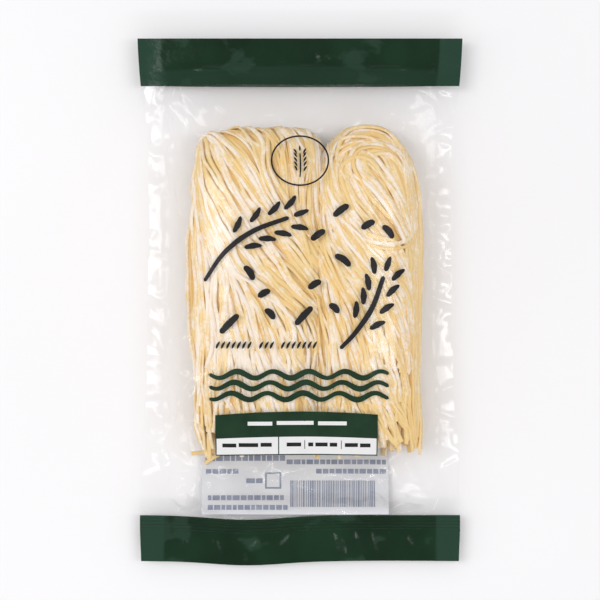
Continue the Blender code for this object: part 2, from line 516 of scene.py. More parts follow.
def film_pieces(form, materials):
    """The clear stretch of the pouch, and the printed band at each end."""
    rows = film_rows(form)
    loops = film_loops(form, rows)
    low = int(np.argmin(np.abs(rows - BOTTOM_BAND_EDGE)))
    high = int(np.argmin(np.abs(rows - TOP_BAND_EDGE)))
    parts = [
        ("pouch_film", slice(low, high + 1), False, False, "film", "clear_film"),
        ("band_top", slice(high, None), False, True, "band", "band_print"),
        ("band_bottom", slice(None, low + 1), True, False, "band", "band_print"),
    ]
    for name, span, closed_low, closed_high, material, slot in parts:
        shape = Shape()
        points, faces = tube_piece(loops[span], closed_low, closed_high)
        shape.add(points, faces, seal=seal_values(form, loops[span]),
                  crumple=crumple_values(loops[span]))
        piece = shape.make(name, materials[material], slot, sharp=60)
        if name == "pouch_film":
            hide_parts("bag")


# ---------------------------------------------------------------- the hanks of pasta

# Lines that the strands of each hank follow in plan, as x and y in millimetres.
LEFT_LINES = [
    [(-45, 68), (-40, 59), (-38.8, 49), (-39.5, 36), (-40, 22), (-41, 8), (-41, -6),
     (-39.5, -22), (-38, -40), (-37, -56)],
    [(-41, 68), (-36.5, 61), (-32.5, 53), (-29, 47), (-25, 41), (-21, 36), (-17, 31), (-12.5, 26), (-8, 21),
     (-4, 16), (0, 11), (3.5, 6)],
    [(-35, 70), (-28, 62.5), (-23, 57.5), (-18.5, 53), (-15.5, 48), (-13, 42.5), (-10, 37.5), (-6, 32),
     (-2, 27.5), (3, 22.5), (6.5, 18.5)],
    [(-24, 71), (-18.5, 63.5), (-14.5, 59), (-12.3, 54), (-12.5, 49), (-11, 43), (-7.5, 38), (-5, 34)],
    [(-14, 71), (-8.5, 62), (-5.5, 56), (-4.5, 49), (-4, 42), (-4, 36), (-2, 30), (2, 25)],
    [(-6, 70), (-1.5, 61), (1.5, 54), (1.5, 47), (1.5, 40), (2, 33), (4, 27), (7, 22)],
    [(-36, 47), (-33, 41), (-30, 36), (-26, 30), (-22, 24), (-17, 18), (-12, 12), (-6, 6.5),
     (0, 2), (5, -2)],
    [(-37, 34), (-35, 28), (-31.5, 22), (-28, 16), (-25, 9), (-22, 3), (-20, -4), (-18, -14),
     (-15, -24), (-12, -34), (-10, -44), (-9, -56)],
    [(-38, 22), (-36, 14), (-34.5, 6), (-34, -4), (-34, -16), (-34, -30), (-34, -44), (-33, -56)],
    [(-29, 8), (-29, 0), (-28.5, -10), (-28, -20), (-27, -32), (-26, -44), (-25, -56)],
    [(-14, 4), (-10, -4), (-7, -12), (-4, -22), (-1, -32), (2, -44), (4, -56)],
    [(-18, 8), (-12, 4), (-6, 0), (0, -5), (4, -11), (6, -20), (6.5, -34)],
]
RIGHT_LINES = [
    [(6.5, 44), (7.5, 51), (10.4, 57.5), (15, 61.8), (21, 64), (27, 63.6), (32.4, 61), (36.6, 57),
     (39.8, 51.5), (41.6, 45), (42.8, 37), (43.6, 27), (44, 15), (44.3, 0), (44, -20), (43.5, -40),
     (45, -57)],
    [(9.4, 44), (9.8, 50), (12.6, 56), (17, 60), (22, 61.6), (28, 60.6), (33, 58), (36.6, 54.4)],
    [(27, 22), (22.5, 28), (18, 34), (14.5, 40), (13, 46), (13.2, 52), (16, 56.5), (21, 58.6),
     (27, 58), (32, 56), (36, 52), (38.7, 46.5), (40.3, 40), (41.8, 31)],
    [(32, 24), (28, 29), (24, 34), (20, 39.5), (17.8, 45), (17.6, 50.5), (20.5, 54.6),
     (25.5, 55.2), (30.5, 53), (34, 48.5), (36.8, 43), (39, 36.5), (41.5, 28)],
    [(34, 30), (30, 35), (26, 40), (22.5, 44.5), (21.4, 48.5), (23, 51.3), (27, 50.6), (31, 46),
     (34.5, 41), (37.5, 35.5)],
    [(9.5, 41), (11, 36), (14, 31), (18.5, 25.5), (23, 20), (27.5, 14), (32, 8), (35.5, 1),
     (38, -6), (40, -14), (41.5, -24), (42, -36), (43, -50)],
    [(7, 34), (8.5, 28), (12, 22), (16.5, 16), (21, 10), (25.5, 4), (29.5, -3), (33, -11),
     (35.5, -20), (37.5, -30), (40.5, -41), (44.5, -53)],
    [(7.5, 20), (10, 13), (14, 6), (18, 0), (22, -7), (25, -15), (28, -24), (31.2, -34),
     (35.4, -44), (40.5, -56)],
    [(8, 8), (10, 1), (12.5, -7), (15, -15), (17.5, -24), (20.4, -33), (24, -44), (28.5, -56)],
    [(7.5, -4), (9, -12), (9.5, -22), (10.5, -34), (12, -46), (13, -57)],
    [(38, 26), (40.5, 20), (42.3, 10), (43, 0)],
]


class Hank:
    """A folded bunch of strands: a rounded body that is open at its cut end."""

    def __init__(self, form, name, edges, top, shoulder, roundness, lines, seed):
        self.form = form
        self.name = name
        table = np.array(edges, float) * MM
        self.edge_y, self.left, self.right = table.T
        self.top = top
        self.shoulder = shoulder
        self.roundness = roundness
        self.random = np.random.default_rng(seed)
        self.crest_y = np.linspace(-62 * MM, 66 * MM, 65)
        centre = np.interp(self.crest_y, self.edge_y, (self.left + self.right) / 2)
        self.crest = form.height(form.top, centre, self.crest_y)
        self.read_lines(lines)

    def read_lines(self, lines):
        """Places and doubled angles of the lines that the strands follow."""
        places, turns = [], []
        for line in lines:
            curve = smooth_curve(np.array(line) * MM, 1.5 * MM)
            tangent = unit(np.gradient(curve, axis=0))
            angle = 2 * np.arctan2(tangent[:, 1], tangent[:, 0])
            places.append(curve)
            turns.append(np.stack([np.cos(angle), np.sin(angle)], 1))
        self.line_places = np.vstack(places)
        self.line_turns = np.vstack(turns)

    def middle_and_half(self, y):
        """Height of the hank's middle at y, and how far it goes up and down from there."""
        low = 0.9 * MM
        high = np.interp(y, self.crest_y, self.crest) - CLEARANCE
        return (high + low) / 2, (high - low) / 2

    def breadth(self, y):
        """Middle of the hank across the pack at y, and how far it goes to each side."""
        left = np.interp(y, self.edge_y, self.left)
        right = np.interp(y, self.edge_y, self.right)
        return (left + right) / 2, (right - left) / 2

    def plan(self, x, y):
        """0 at the middle in plan, and 1 on the outline."""
        centre, aside = self.breadth(y)
        across = np.abs(x - centre) / aside
        along = np.maximum(y - self.shoulder, 0) / (self.top - self.shoulder)
        return (across**self.roundness + along**self.roundness) ** (1 / self.roundness)

    def level(self, p):
        """0 at the hank's middle, and 1 on its surface."""
        middle, half = self.middle_and_half(p[..., 1])
        up = np.abs(p[..., 2] - middle) / half
        plan = self.plan(p[..., 0], p[..., 1])
        return (plan**SECTION_POWER + up**SECTION_POWER) ** (1 / SECTION_POWER)

    def slope(self, p):
        """Gradient of the level at points p."""
        step = 0.06 * MM
        moves = np.eye(3) * step
        return np.stack([(self.level(p + m) - self.level(p - m)) / (2 * step) for m in moves], -1)

    def settle(self, p, level):
        """Points p moved straight out or in until they lie on the level."""
        for _ in range(3):
            slope = self.slope(p)
            size = np.maximum((slope**2).sum(-1, keepdims=True), 1.0)
            move = slope * ((level - self.level(p))[..., None] / size)
            length = np.linalg.norm(move, axis=-1, keepdims=True)
            p = p + move * np.minimum(1.0, 3 * MM / np.maximum(length, 1e-9))
        return p

    def lie(self, p, normal, turn):
        """Direction in which a strand lies at p: its line in plan, carried over the fold."""
        gap = ((p[:, None, :2] - self.line_places[None]) ** 2).sum(-1)
        weight = 1.0 / (gap + FIELD_SOFTNESS**2) ** 2.5
        doubled = weight @ self.line_turns
        angle = np.arctan2(doubled[:, 1], doubled[:, 0]) / 2 + turn
        over = np.stack([np.zeros(len(p)), normal[:, 2], -normal[:, 1]], 1)
        plain = np.array([0.0, 1.0, 0.0]) * np.where(normal[:, 2:] < 0, -1.0, 1.0)
        steep = np.linalg.norm(over, axis=1, keepdims=True) < 0.4
        over = np.where(steep, plain, unit(over))
        across = np.array([1.0, 0.0, 0.0]) - normal * normal[:, :1]
        flow = across * np.cos(angle)[:, None] + over * np.sin(angle)[:, None]
        return flow - normal * (flow * normal).sum(1, keepdims=True)

    def seeds(self, count, low_y, high_y):
        """Points spread evenly over the hank's surface."""
        y = self.random.uniform(low_y, high_y, count)
        angle = np.linspace(0, 2 * math.pi, 97)
        ring = (np.abs(np.cos(angle)) ** SECTION_POWER
                + np.abs(np.sin(angle)) ** SECTION_POWER) ** (-1 / SECTION_POWER)
        flat = np.stack([22 * MM * ring * np.cos(angle), 11 * MM * ring * np.sin(angle)], 1)
        run = np.concatenate([[0], np.cumsum(np.linalg.norm(np.diff(flat, axis=0), axis=1))])
        pick = np.interp(self.random.uniform(0, run[-1], count), run, angle)
        scale = np.interp(pick, angle, ring)
        centre, aside = self.breadth(y)
        middle, half = self.middle_and_half(y)
        shrink = (1 - np.clip((y - self.shoulder) / (self.top - self.shoulder), 0, 0.98)
                  ** self.roundness) ** (1 / self.roundness)
        x = centre + np.cos(pick) * scale * shrink * aside
        return np.stack([x, y, middle + np.sin(pick) * scale * half], 1)

    def march(self, p, level, ahead, steps):
        """Strand paths from points p over the surface of their levels."""
        count = len(p)
        bend = self.random.normal(0, 0.07, count)
        sway = self.random.uniform(0.03, 0.15, count)
        wave = self.random.uniform(28, 70, count) * MM
        phase = self.random.uniform(0, 2 * math.pi, count)
        lift = self.random.uniform(0.0, 0.022, count)
        quiver = self.random.uniform(0.05, 0.24, count)
        short_wave = self.random.uniform(10, 17, count) * MM
        before = ahead
        path = [p]
        for step in range(steps):
            run = step * STRAND_STEP / wave * 2 * math.pi + phase
            normal = unit(self.slope(p))
            fast = step * STRAND_STEP / short_wave * 2 * math.pi + 2 * phase
            loose = 2.0 - smoothstep(p[:, 1], -32 * MM, -4 * MM)
            turn = bend + sway * np.sin(run) + quiver * np.sin(fast)
            flat = self.lie(p, normal, loose * turn)
            grip = np.linalg.norm(flat, axis=1, keepdims=True)
            side = np.sign((flat * before).sum(1, keepdims=True))
            flat = unit(flat) * np.where(side == 0, 1, side)
            share = 0.55 * smoothstep(grip, 0.25, 0.8)
            before = unit(before * (1 - share) + flat * share)
            before = unit(before - normal * (before * normal).sum(1, keepdims=True))
            p = self.settle(p + before * STRAND_STEP, level + lift * np.sin(1.7 * run))
            path.append(p)
        return np.stack(path, 1)

    def strands(self, count, low_depth, high_depth, low_y, high_y, length, ends):
        """Paths of count strands that lie between two depths under the surface."""
        seeds = self.seeds(count, low_y, high_y)
        level = 1.0 - self.random.uniform(low_depth, high_depth, count) / HALF_DEPTH
        seeds = self.settle(seeds, level)
        normal = unit(self.slope(seeds))
        ahead = unit(self.lie(seeds, normal, np.zeros(count)))
        steps = int(length / STRAND_STEP)
        forward = self.march(seeds, level, ahead, steps)
        backward = self.march(seeds, level, -ahead, steps)
        cut = self.random.uniform(*ends, (2, count))
        reach_share = self.random.uniform(0.55, 1.0, (2, count))
        paths = []
        for k in range(count):
            one = self.trimmed(forward[k], cut[0, k], reach_share[0, k])
            two = self.trimmed(backward[k], cut[1, k], reach_share[1, k])
            path = np.vstack([two[::-1], one[1:]])
            if len(path) > 5:
                paths.append(path)
        return paths

    def cells(self, path):
        """The small squares of the hank's upper or lower side that a path passes over."""
        middle, _ = self.middle_and_half(path[:, 1])
        plan = np.floor(path[:, :2] / PACKING_CELL).astype(int)
        upper = (path[:, 2] > middle).astype(int)
        return set(zip(plan[:, 0].tolist(), plan[:, 1].tolist(), upper.tolist()))

    def evenly(self, paths, keep, taken):
        """Those of the paths that cover the hank's surface the most evenly."""
        cells = [self.cells(path) for path in paths]
        left = list(range(len(paths)))
        chosen = []
        while left and len(chosen) < keep:
            tries = self.random.choice(left, min(12, len(left)), replace=False)
            load = [sum(taken.get(cell, 0) for cell in cells[k]) / len(cells[k]) for k in tries]
            best = int(tries[int(np.argmin(load))])
            for cell in cells[best]:
                taken[cell] = taken.get(cell, 0) + 1
            left.remove(best)
            chosen.append(paths[best])
        return chosen

    def into_gaps(self, paths, keep, taken, bare_share):
        """Those of the paths that mostly pass over bare cells."""
        chosen = []
        for path in paths:
            cells = self.cells(path)
            bare = sum(cell not in taken for cell in cells) / len(cells)
            if bare < bare_share or len(chosen) == keep:
                continue
            for cell in cells:
                taken[cell] = taken.get(cell, 0) + 1
            chosen.append(path)
        return chosen

    @staticmethod
    def trimmed(path, cut, share):
        """The path up to the cut end, or up to a share of its whole length."""
        path = path[: max(2, int(len(path) * share))]
        beyond = np.nonzero(path[:, 1] < cut)[0]
        return path[: max(1, beyond[0])] if len(beyond) else path

    def on_top(self, points, depth):
        """A smooth path through points in plan, laid on the hank's upper side."""
        flat = smooth_curve(np.array(points, float) * MM, STRAND_STEP)
        middle, half = self.middle_and_half(flat[:, 1])
        level = 1.0 - depth / HALF_DEPTH
        plan = np.minimum(self.plan(flat[:, 0], flat[:, 1]), level * 0.98)
        up = (level**SECTION_POWER - plan**SECTION_POWER) ** (1 / SECTION_POWER)
        return np.column_stack([flat, middle + up * half])


def kept_inside(form, path, spare=0.0):
    """The path, kept between the two films and clear of the front one where it falls away."""
    x, y = path[:, 0], path[:, 1]
    outer = x + np.sign(x) * STRAND_WIDTH / 2
    roof = np.minimum(form.height(form.top, x, y), form.height(form.top, outer, y))
    high = roof - CLEARANCE - spare
    low = form.height(form.bottom, x, y) + BACK_CLEARANCE + spare
    path[:, 2] = np.clip(path[:, 2], np.minimum(low, high), high)
    return path


ROUND_SECTION = [(1, 0), (0.74, 1), (-0.74, 1), (-1, 0), (-0.74, -1), (0.74, -1)]
PLAIN_SECTION = [(1, -1), (1, 1), (-1, 1), (-1, -1)]


def add_strand(shape, path, normal, section, random, tone, flour):
    """A strand of pasta as a tube with blunt ends."""
    count, sides = len(path), len(section)
    along = unit(np.gradient(path, axis=0))
    across = unit(np.cross(along, normal))
    above = np.cross(across, along)
    place = np.linspace(0, 1, count)
    roll = random.normal(0, 0.35) + random.normal(0, 0.5) * place
    width = STRAND_WIDTH / 2 * random.uniform(0.86, 1.1)
    thick = STRAND_THICKNESS / 2 * random.uniform(0.85, 1.12)
    cos, sin = np.cos(roll)[:, None], np.sin(roll)[:, None]
    side_way = across * cos + above * sin
    up_way = above * cos - across * sin
    rings = [path + side_way * (a * width) + up_way * (b * thick) for a, b in section]
    points = np.stack(rings, 1)
    ring = np.arange(sides)
    quads = tube_faces(count, sides)[:, [0, 3, 2, 1]]
    caps = np.stack([ring, (count - 1) * sides + ring[::-1]])
    run = np.repeat(place * count * STRAND_STEP / (4.0 * MM), sides)
    turn = np.tile(ring / sides * 1.6, count)
    key = np.full(count * sides, random.uniform(0, 400))
    shape.add(points, [quads, caps], lay=np.stack([run, turn, key], 1),
              tone=np.full(count * sides, tone),
              flour=np.repeat(np.asarray(flour) * np.ones(count), sides))


def flour_amount(path, own):
    """How floury a strand is: most at the left and the foot, least at the edges and low right."""
    x, y = path[:, 0] / MM, path[:, 1] / MM
    left = np.exp(-(((x + 24) / 14) ** 2) - ((y - 8) / 24) ** 2)
    foot = np.exp(-(((x + 6) / 28) ** 2) - ((y + 26) / 13) ** 2)
    middle = np.exp(-(((x - 2) / 9) ** 2) - ((y - 14) / 15) ** 2)
    corner = np.exp(-(((x - 38) / 9) ** 2) - ((y + 46) / 12) ** 2)
    edge = smoothstep(np.abs(x - 2), 36, 44)
    return 0.33 + 0.13 * left + 0.10 * foot - 0.09 * middle - 0.15 * corner - 0.05 * edge + own


def tucked(path, normal):
    """The path with its ends dipping under their neighbours, but for ends at the cut end."""
    run = np.arange(len(path)) * STRAND_STEP
    start = np.exp(-((run / END_DIP_LENGTH) ** 2)) * (path[0, 1] > CUT_END)
    end = np.exp(-(((run - run[-1]) / END_DIP_LENGTH) ** 2)) * (path[-1, 1] > CUT_END)
    return path - normal * (END_DIP * np.maximum(start, end))[:, None]


# The strands' mean tone is moved towards the deeper orange dough for strands that lie low: painted shade
# for the gaps between strands.
def add_strands(shape, hank, paths, section, painted_gap_shade=0.0, dust=0.0, spare=0.0):
    for path in paths:
        normal = unit(hank.slope(path))
        room = spare + hank.random.uniform(0.0, 0.5) * MM
        path = kept_inside(hank.form, tucked(path, normal), room)
        tone = hank.random.normal(painted_gap_shade, 0.33)
        flour = flour_amount(path, dust + hank.random.normal(0, 0.06))
        add_strand(shape, path, normal, section, hank.random, tone, flour)


def core_shape(hank, level, low_y, high_y):
    """The smaller body inside the strands."""
    rows, columns = 60, 48
    y = np.repeat(np.linspace(low_y, high_y, rows)[:, None], columns, 1)
    angle = np.linspace(0, 2 * math.pi, columns, endpoint=False)[None, :]
    centre, aside = hank.breadth(y)
    middle, half = hank.middle_and_half(y)
    near, far = np.zeros_like(y), np.full_like(y, 1.5)
    for _ in range(24):
        scale = (near + far) / 2
        x = centre + np.cos(angle) * scale * aside
        z = middle + np.sin(angle) * scale * half
        inside = hank.level(np.stack([x, y, z], -1)) < level
        near = np.where(inside, scale, near)
        far = np.where(inside, far, scale)
    points = np.stack([x, y, z], -1).reshape(-1, 3)
    ring = np.arange(columns)
    caps = np.stack([ring[::-1], (rows - 1) * columns + ring])
    return points, [tube_faces(rows, columns), caps]


def add_core(shape, hank):
    level = 0.895
    end = hank.shoulder + (hank.top - hank.shoulder) * level * 0.97
    points, faces = core_shape(hank, level, -42 * MM, end)
    points = kept_inside(hank.form, points, 1.2 * MM)
    lay = np.column_stack([points[:, 1] / (4 * MM), points[:, 0] / (0.8 * MM),
                           np.full(len(points), 7.0)])
    # The core's deep orange tone of -0.9 is painted shade: the core is seen only in the gaps between the
    # strands.
    shape.add(points, faces, lay=lay, tone=np.full(len(points), -0.9),
              flour=np.full(len(points), 0.1))


def end_fillers(hank, count):
    """Short straight strands inside the hank's cut end."""
    random = hank.random
    paths = []
    for _ in range(count):
        y = random.uniform(-40, -30) * MM
        centre, aside = hank.breadth(y)
        middle, half = hank.middle_and_half(y)
        x = centre + random.uniform(-0.8, 0.8) * aside
        z = middle + random.uniform(-0.75, 0.75) * half
        end = random.uniform(-55.5, -46) * MM
        drift = random.normal(0.0, 2.0) * MM
        drop = z * random.uniform(0.6, 0.85)
        route = [(x, y, z), (x + drift * 0.4, (y + end) / 2, z * 0.9), (x + drift, end, drop)]
        paths.append(smooth_curve(route, STRAND_STEP * 1.4))
    return paths


def hank_piece(hank, material, laid):
    """One hank: a core, a lower and an upper layer, short strands, cut ends, and strands on top."""
    shape = Shape()
    add_core(shape, hank)
    low, high = -56 * MM, hank.top - 1 * MM
    long_ends = (-59 * MM, -40 * MM)
    mixed_ends = (-58 * MM, -8 * MM)
    taken_below = {}
    # The lower layer and its gap strands get a deeper orange tone: painted warm shade for the gaps between
    # strands.
    lower = hank.strands(170, 0.8 * MM, 1.3 * MM, low, high, 130 * MM, long_ends)
    add_strands(shape, hank, hank.evenly(lower, 62, taken_below), PLAIN_SECTION,
                -0.3, -0.06, 0.3 * MM)
    gaps = hank.strands(500, 0.8 * MM, 1.2 * MM, low, high, 26 * MM, long_ends)
    gaps = hank.into_gaps(gaps, 60, taken_below, 0.6)
    add_strands(shape, hank, gaps, PLAIN_SECTION, -0.3, -0.06, 0.3 * MM)
    taken = {}
    upper = hank.strands(260, 0.35 * MM, 1.0 * MM, low, high, 130 * MM, mixed_ends)
    add_strands(shape, hank, hank.evenly(upper, 92, taken), ROUND_SECTION)
    gaps = hank.strands(700, 0.5 * MM, 1.0 * MM, low, high, 22 * MM, long_ends)
    add_strands(shape, hank, hank.into_gaps(gaps, 110, taken, 0.55), ROUND_SECTION)
    short = hank.strands(60, 0.1 * MM, 0.6 * MM, -54 * MM, 0.0, 20 * MM, long_ends)
    add_strands(shape, hank, short[:24], ROUND_SECTION)
    # The fillers in the cut end also get a deeper tone: painted gap shade.
    add_strands(shape, hank, end_fillers(hank, 90), PLAIN_SECTION, -0.2)
    over = [hank.on_top(points, depth * MM) for points, depth in laid]
    add_strands(shape, hank, over, ROUND_SECTION, spare=-0.55 * MM)
    return shape.make(hank.name, material, "pasta", sharp=70)


def hanks(form, material):
    """The two hanks, side by side."""
    # Rows of y, left edge and right edge, in millimetres.
    left_edges = [(-62, -34.5, 8), (-44, -39, 9.5), (-29, -38.5, 10), (-14, -41, 10.5),
                  (8, -42, 10.5), (22, -41.8, 10.5), (37, -40, 10), (44, -39.8, 9.6),
                  (52, -38.8, 9.6), (63, -38, 9)]
    right_edges = [(-62, 5, 44.5), (-44, 4, 45), (-29, 3, 43.6), (-14, 3, 44.4),
                   (8, 3, 45), (22, 3, 45.2), (37, 4, 44.6), (44, 4.6, 43.8), (52, 4.2, 43.6),
                   (66, 4, 43.4)]
    left = Hank(form, "hank_left", left_edges, 64.4 * MM, 42 * MM, 5.0, LEFT_LINES, 11)
    right = Hank(form, "hank_right", right_edges, 65.8 * MM, 34 * MM, 2.15, RIGHT_LINES, 23)
    left_laid = [([(-30, 55), (-22, 38), (-10, 20), (0, 2)], 0.1),
                 ([(-12, 61), (-10, 46), (-1, 30), (5, 12)], 0.1)]
    right_laid = [([(21, 23), (27, 21), (33, 20.6), (38.5, 22), (41.6, 26.5), (42.4, 33)], -0.4),
                  ([(23.5, 20.8), (30, 18.9), (36, 19), (40.8, 21.4), (43.2, 27)], -0.4),
                  ([(24, 24.4), (28.5, 22.6), (34, 22.2)], -0.5),
                  ([(24, 56.5), (28, 57), (31, 56)], -0.1),
                  ([(26, 53), (30, 53.5), (34, 52.5), (37, 49)], -0.1),
                  ([(18, 46), (23, 43), (28, 38), (33, 31), (38, 22)], 0.0),
                  ([(21, 52), (22, 47), (27, 43), (33, 35), (39, 24)], 0.0)]
    hank_piece(left, material, left_laid)
    hank_piece(right, material, right_laid)


def loose_strands(form, material):
    """The strands that have come away at the bottom left."""
    random = np.random.default_rng(5)
    shape = Shape()
    routes = [
        [(-39.2, -45, 3.5), (-37.6, -51, 2.6), (-34.6, -55.5, 2.0), (-31.8, -58.5, 1.8)],
        [(-40.4, -56.6, 2.6), (-34, -56.0, 3.2), (-28, -55.4, 3.4), (-20, -54, 3.6)],
        [(-35.2, -60.4, 2.2), (-32.4, -58.2, 3.0), (-28.2, -55.8, 4.4)],
        [(-37.0, -46, 3.0), (-36.6, -52, 2.4), (-33.5, -57, 1.9)],
    ]
    for route in routes:
        path = kept_inside(form, smooth_curve(np.array(route) * MM, STRAND_STEP))
        normal = np.tile([0.0, 0.0, 1.0], (len(path), 1))
        add_strand(shape, path, normal, ROUND_SECTION, random, 0.1, 0.1)
    shape.make("loose_strands", material, "pasta", sharp=70)


# ---------------------------------------------------------------- the print


def add_slab(shape, x, y, z, thickness):
    """A thin closed plate over a grid of points. Rows run along +Y and columns along +X."""
    rows, columns = x.shape
    upper = np.stack([x, y, z + thickness / 2], -1).reshape(-1, 3)
    lower = np.stack([x, y, z - thickness / 2], -1).reshape(-1, 3)
    size = rows * columns
    index = np.arange(size).reshape(rows, columns)
    rim = np.concatenate([index[0], index[1:, -1], index[-1, -2::-1], index[-2:0:-1, 0]])
    following = np.roll(rim, -1)
    wall = np.stack([rim + size, following + size, following, rim], 1)
    faces = [grid_faces(rows, columns), grid_faces(rows, columns, True, size), wall]
    shape.add(np.vstack([upper, lower]), faces)


class Print:
    """Draws flat shapes on one of the films. Sizes are given in millimetres."""

    def __init__(self, height, rise, thickness=INK_THICKNESS):
        self.height = height
        self.rise = rise
        self.thickness = thickness
        self.shape = Shape()

    def lay(self, x, y, lift=0.0):
        z = self.height(x, y) + self.rise + lift * MM
        add_slab(self.shape, x, y, z, self.thickness)

    def box(self, x0, y0, x1, y1, low_bow=0.0, high_bow=0.0, lift=0.0):
        """A rectangle, whose bottom and top edges may bow up in the middle."""
        columns = max(2, int((x1 - x0) / 1.2) + 1)
        rows = max(2, int((y1 - y0) / 1.2) + 1)
        x, y = np.meshgrid(np.linspace(x0, x1, columns), np.linspace(y0, y1, rows))
        bow = low_bow + (high_bow - low_bow) * (y - y0) / (y1 - y0)
        y = y + bow * (1 - (x / 30) ** 2)
        self.lay(x * MM, y * MM, lift)

    def stroke(self, points, widths, lift=0.0):
        """A line of changing width through the points, with round ends."""
        curve = smooth_curve(np.array(points, float), 0.5)
        along = unit(np.gradient(curve, axis=0))
        place = np.linspace(0, 1, len(curve))
        width = np.interp(place, np.linspace(0, 1, len(widths)), widths)
        run = np.concatenate([[0], np.cumsum(np.linalg.norm(np.diff(curve, axis=0), axis=1))])
        to_end = np.minimum(run, run[-1] - run) / np.maximum(width / 2, 1e-6)
        width = width * np.sqrt(np.clip(1 - np.clip(1 - to_end, 0, 1) ** 2, 0.08, 1))
        right = np.column_stack([along[:, 1], -along[:, 0]])
        share = np.linspace(-0.5, 0.5, 4)
        grid = curve[:, None] + right[:, None] * (share[None, :, None] * width[:, None, None])
        self.lay(grid[..., 0] * MM, grid[..., 1] * MM, lift)

    def bars(self, x0, x1, y, height, lengths, gap=1.1, bow=0.0, lift=0.0):
        """A row of bars of the given relative lengths, as wide together as x0 to x1."""
        free = (x1 - x0) - gap * (len(lengths) - 1)
        x = x0
        for length in lengths:
            end = x + free * length / sum(lengths)
            middle_bow = bow * (1 - ((x + end) / 60) ** 2)
            self.box(x, y - height / 2 + middle_bow, end, y + height / 2 + middle_bow, lift=lift)
            x = end + gap


def wheat_ear(ink, stalk, grains, length, width, start=0.42):
    """An ear of wheat in brush strokes: a stalk, with pairs of grains along its upper part."""
    curve = smooth_curve(np.array(stalk, float), 0.4)
    ink.stroke(stalk, [width * 0.7, width, width * 0.8])
    for k in range(grains):
        place = start + (1.0 - start) * k / (grains - 1)
        index = min(int(place * (len(curve) - 1)), len(curve) - 2)
        along = unit(curve[index + 1] - curve[index])
        right = np.array([along[1], -along[0]])
        for side in (-1, 1):
            foot = curve[index] + right * side * (width * 0.9 + 0.25 * length)
            tip = foot + along * length * 0.86 + right * side * length * 0.5
            ink.stroke([foot, (foot + tip) / 2 + along * 0.1 * length, tip],
                       [width * 0.7, width * 1.2, width * 0.5])
    tip = curve[-1] + unit(curve[-1] - curve[-4]) * length * 1.2
    ink.stroke([curve[-1] + (tip - curve[-1]) * 0.25, tip], [width * 0.8, width * 1.1, width * 0.5])


def ring_mark(ink):
    """A ring with a small ear of wheat in it."""
    turn = np.linspace(0, 2 * math.pi, 97)[:, None]
    share = np.array([[-0.3, 0.3]])
    x = (10.2 - share) * np.sin(turn)
    y = 50.6 + (9.0 - share) * np.cos(turn)
    ink.lay(x * MM, y * MM)
    wheat_ear(ink, [(0, 44.4), (0.2, 48.0), (0, 53.4)], 5, 2.3, 0.62, 0.3)


def brush_marks(ink):
    """Two rows of ears and fallen grains in loose brush strokes."""
    wheat_ear(ink, [(-34.4, 7.2), (-27, 17.5), (-17, 25), (-4, 30)], 4, 6.4, 1.9, 0.5)
    wheat_ear(ink, [(14.4, -17), (20, -11), (26, -2), (30, 9)], 4, 6.2, 2.0, 0.4)
    fallen = [
        ((-20, 12.5), (-16.6, 7.6)), ((4, 22), (9, 25.4)), ((12, 30.5), (17.4, 34.5)),
        ((12.5, 16.5), (18, 12.6)), ((22, 26), (26.8, 28.6)), ((29.6, 27), (33.4, 22.6)),
        ((-28.6, -11.4), (-22, -4.8)), ((-15, 1.6), (-10.6, 3.8)), ((-12.6, -3), (-9.2, -6.4)),
        ((-1.6, -8.4), (4.4, -2)), ((3, 4.6), (7.6, 7.2)), ((10.4, -1.2), (13.8, -4.2)),
    ]
    for start, end in fallen:
        middle = ((start[0] + end[0]) / 2 + 0.3, (start[1] + end[1]) / 2 + 0.5)
        ink.stroke([start, middle, end], [1.9, 2.6, 1.9])
    for start, end in ((-29.6, -17.0), (-14.0, -9.4), (-6.2, 6.4)):
        for x in np.arange(start, end, 1.9):
            ink.stroke([(x - 0.5, -17.0), (x + 0.1, -15.6), (x + 0.9, -14.4)], [0.5, 1.0, 0.5])


def noodle_waves(ink):
    """Three wavy lines, like noodles, in the title's place."""
    x = np.linspace(-32.6, 32.6, 90)
    for row, y in enumerate((-26.3, -30.2, -34.1)):
        wave = y + 1.2 * np.sin(x / 2.05 + 0.5 * row)
        ink.stroke(np.column_stack([x, wave])[::2], [1.3, 2.1, 1.6, 2.2, 1.5, 2.1, 1.3])


def info_box(green, white, black):
    """A box of two rows: a green field over white cells, with bars where words would be."""
    left, right, top, split, foot = -30.5, 28.0, -40.9, -49.6, -55.5
    green.box(left, split, right, top, 0.8, 1.3)
    white.box(left + 0.3, foot, -7.9, split, 0.3, 0.8)
    white.box(-7.5, foot, right - 0.3, split, 0.3, 0.8)
    for x in (left, -7.9, right - 0.4):
        green.box(x, foot, x + 0.4, split, 0.3, 0.8)
    green.box(left, foot - 0.4, right, foot, 0.3, 0.3)
    white.bars(-18.8, 16.8, -44.8, 1.4, [6, 9, 7], 1.6, 1.05, 0.07)
    black.bars(-28.0, -10.2, -52.2, 1.4, [5, 7, 4], 0.9, 0.5, 0.07)
    black.bars(-4.8, 0.4, -52.2, 1.4, [1], 1, 0.5, 0.07)
    black.bars(3.0, 13.4, -52.2, 1.4, [2, 5, 3], 0.8, 0.5, 0.07)
    black.bars(16.2, 25.4, -52.2, 1.4, [5, 4], 0.8, 0.5, 0.07)
    for x in (1.6, 14.8):
        black.box(x, -53.8, x + 0.22, -50.6, 0.5, 0.5, 0.07)


